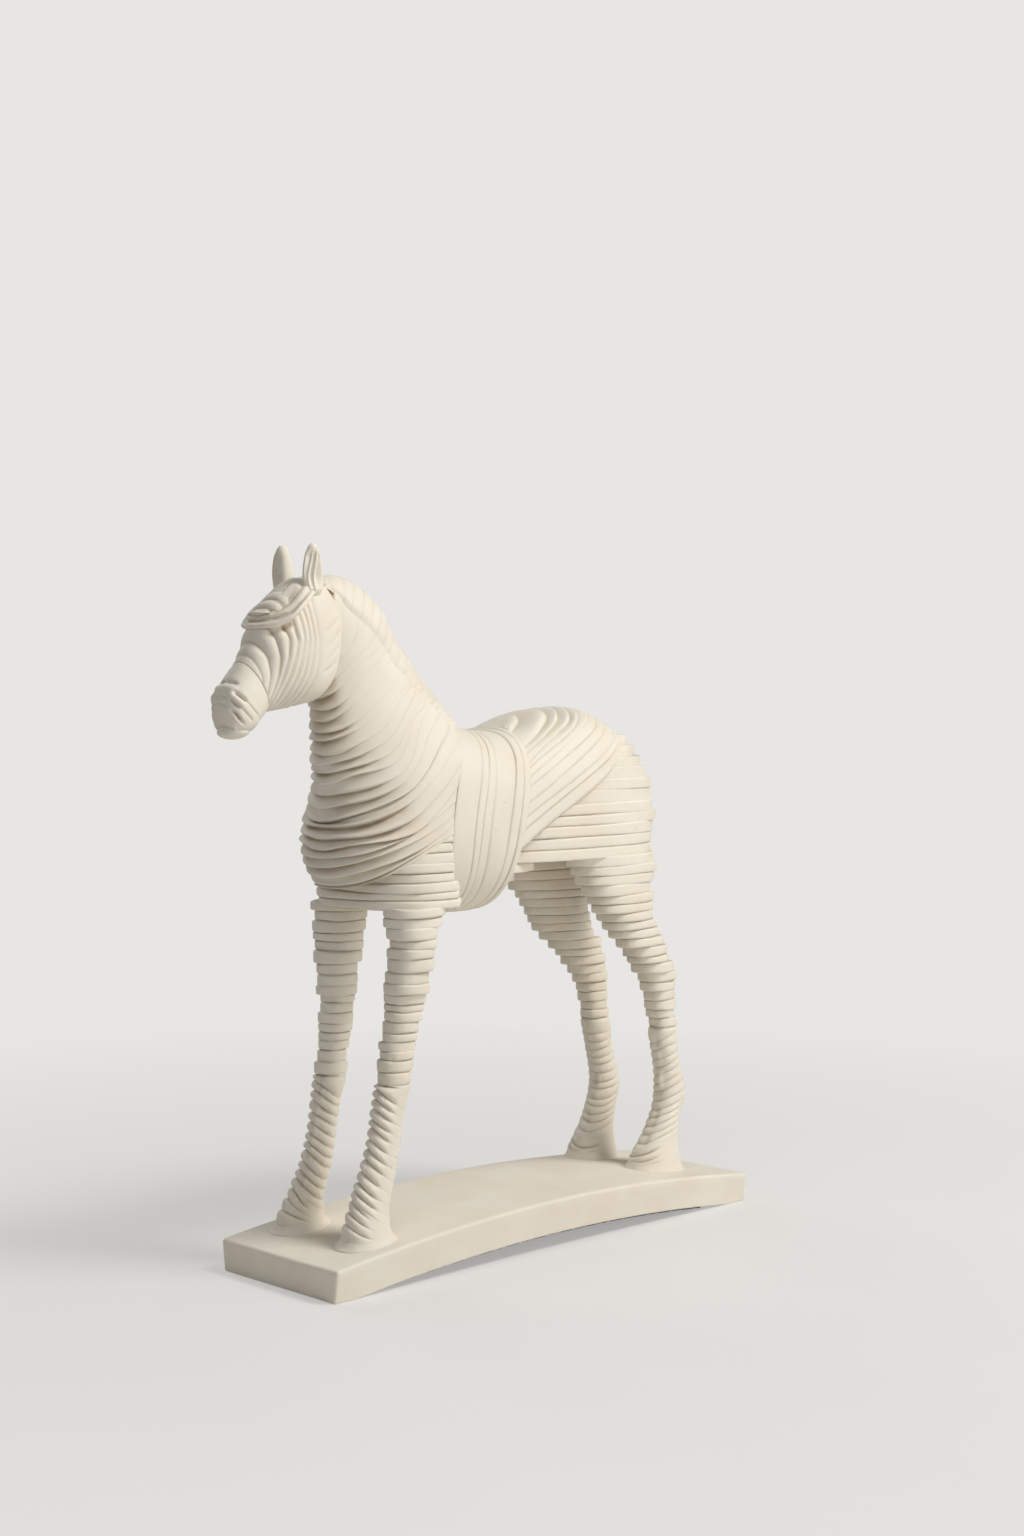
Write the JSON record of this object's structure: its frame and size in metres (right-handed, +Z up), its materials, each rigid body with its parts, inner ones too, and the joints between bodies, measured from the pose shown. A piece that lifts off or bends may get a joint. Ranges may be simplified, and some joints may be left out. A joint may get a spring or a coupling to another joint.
{
  "type": "horse sculpture",
  "caption": "Free-standing horse figurine built of stacked slabs and wound strips, cast in matt off-white resin, standing on an arched rectangular plinth lined with felt.",
  "frame": {"origin": "middle of the underside of the whole, on the surface that the plinth's two ends rest on", "axes": "+Z up, the horse looks along -X, its left side is -Y"},
  "size_m": [0.3146, 0.0832, 0.3283],
  "materials": {
    "resin": "matt off-white cast resin with a light tan wash in the grooves",
    "felt": "black pressed felt",
    "steel": "plain drawn wire"
  },
  "bodies": {
    "root": {"girth_wrap": "resin", "shoulder_wrap": "resin", "elbow_stack": "resin", "rump_wrap": "resin", "haunch_stack": "resin", "neck_wrap": "resin", "mane": "resin", "face_wrap": "resin", "brow_wrap": "resin", "muzzle": "resin", "lower_lip": "resin", "left_ear": "resin", "right_ear": "resin", "left_fore_upper_leg": "resin", "left_fore_lower_leg": "resin", "left_fore_hoof": "resin", "left_fore_wire": "steel", "right_fore_upper_leg": "resin", "right_fore_lower_leg": "resin", "right_fore_hoof": "resin", "right_fore_wire": "steel", "left_hind_upper_leg": "resin", "left_hind_lower_leg": "resin", "left_hind_hoof": "resin", "left_hind_wire": "steel", "right_hind_upper_leg": "resin", "right_hind_lower_leg": "resin", "right_hind_hoof": "resin", "right_hind_wire": "steel", "spine_wire": "steel", "plinth": "resin", "felt_liner": "felt"}
  },
  "joints": []
}
